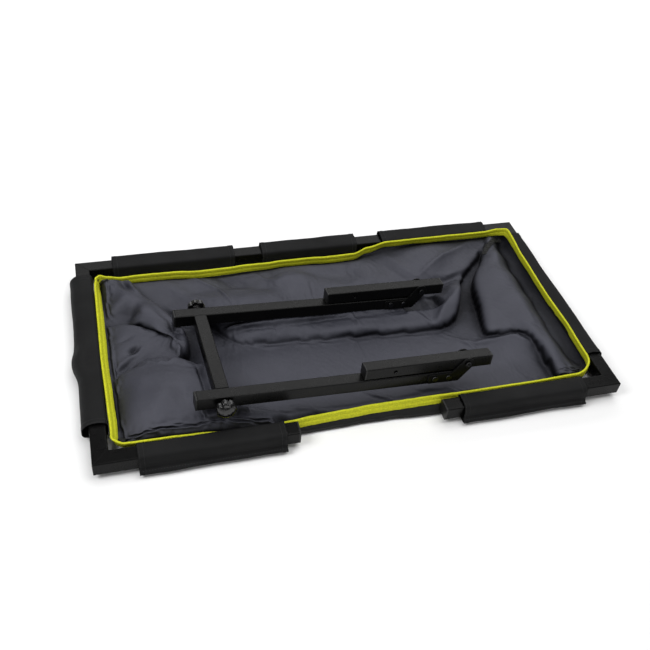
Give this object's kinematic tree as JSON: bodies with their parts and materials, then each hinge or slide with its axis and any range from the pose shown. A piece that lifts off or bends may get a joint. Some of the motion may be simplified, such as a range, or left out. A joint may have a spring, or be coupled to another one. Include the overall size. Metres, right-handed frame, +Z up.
{
  "type": "folding wash tray with leg set",
  "caption": "Rectangular square-tube frame with a slack fabric basin in stitched sleeves, and a folding H-shaped leg set stowed inside it.",
  "frame": {"origin": "on the ground under the middle of the tray frame", "axes": "+X along the long side towards the hinge end of the leg set, +Y to the side with the unbroken tube, +Z up"},
  "size_m": [0.8854, 0.4674, 0.0898],
  "materials": {
    "frame_tube": "satin black powder coat",
    "leg_tube": "satin black powder coat",
    "plug": "moulded black plastic",
    "basin_fabric": "coated slate grey nylon, satin",
    "binding": "woven lime binding tape",
    "seam_tape": "black ribbed tape",
    "sleeve": "matte black woven polyester",
    "plate": "satin black powder coat",
    "fastener": "black zinc plated",
    "inner_leg": "satin black powder coat",
    "knob": "glossy black moulding",
    "stud": "zinc plated thread"
  },
  "bodies": {
    "tray": {"frame_far_tube": "frame_tube", "frame_left_tube": "frame_tube", "frame_right_tube": "frame_tube", "frame_near_left_stub": "frame_tube", "frame_near_right_stub": "frame_tube", "stub_plug_left": "plug", "stub_plug_right": "plug", "basin": "basin_fabric", "rim_binding": "binding", "seam_tape_near_left": "seam_tape", "seam_tape_near_right": "seam_tape", "seam_tape_far_left": "seam_tape", "seam_tape_far_right": "seam_tape", "sleeve_near_left": "sleeve", "sleeve_near_right": "sleeve", "sleeve_far_left": "sleeve", "sleeve_far_middle": "sleeve", "sleeve_far_right": "sleeve", "sleeve_left_end": "sleeve", "sleeve_right_end": "sleeve"},
    "leg_frame": {"leg_tube_near": "leg_tube", "leg_tube_far": "leg_tube", "crossbar": "leg_tube", "clamp_boss_near": "leg_tube", "clamp_boss_far": "leg_tube", "plate_near_outer": "plate", "plate_near_inner": "plate", "plate_far_outer": "plate", "plate_far_inner": "plate", "plate_rivets_near": "fastener", "plate_rivets_far": "fastener", "pivot_bolt_near": "fastener", "pivot_bolt_far": "fastener", "leg_plug_near": "plug", "leg_plug_far": "plug"},
    "rail_near": {"rail_near": "leg_tube", "rail_free_plug_near": "plug", "rail_heel_plug_near": "plug", "rail_bush_near": "plug", "fixing_sleeve_near": "stud"},
    "foot_near": {"inner_leg_near": "inner_leg", "foot_cap_near": "plug"},
    "knob_near": {"knob_head_near": "knob", "knob_stud_near": "stud"},
    "rail_far": {"rail_far": "leg_tube", "rail_free_plug_far": "plug", "rail_heel_plug_far": "plug", "rail_bush_far": "plug", "fixing_sleeve_far": "stud"},
    "foot_far": {"inner_leg_far": "inner_leg", "foot_cap_far": "plug"},
    "knob_far": {"knob_head_far": "knob", "knob_stud_far": "stud"}
  },
  "joints": [
    {"name": "leg_set_lift", "type": "slide", "parent": "tray", "child": "leg_frame", "axis": [0, 0, 1], "range_m": [0, 0.25]},
    {"name": "rail_near_fold", "type": "hinge", "parent": "leg_frame", "child": "rail_near", "pos_m": [0.16903, -0.15953, 0.0698], "axis": [-0.0251, 0.9951, -0.0957], "range_deg": [0, 93]},
    {"name": "foot_near_extend", "type": "slide", "parent": "leg_frame", "child": "foot_near", "axis": [-0.9978, -0.0192, 0.0628], "range_m": [0, 0.22]},
    {"name": "knob_near_turn", "type": "hinge", "parent": "leg_frame", "child": "knob_near", "pos_m": [-0.23736, -0.18072, 0.07101], "axis": [0.0251, -0.9951, 0.0957], "range_deg": [0, 540]},
    {"name": "rail_far_fold", "type": "hinge", "parent": "leg_frame", "child": "rail_far", "pos_m": [0.16386, 0.04546, 0.05009], "axis": [-0.0251, 0.9951, -0.0957], "range_deg": [0, 93]},
    {"name": "foot_far_extend", "type": "slide", "parent": "leg_frame", "child": "foot_far", "axis": [-0.9978, -0.0192, 0.0628], "range_m": [0, 0.22]},
    {"name": "knob_far_turn", "type": "hinge", "parent": "leg_frame", "child": "knob_far", "pos_m": [-0.24309, 0.04616, 0.0492], "axis": [-0.0251, 0.9951, -0.0957], "range_deg": [0, 540]}
  ]
}
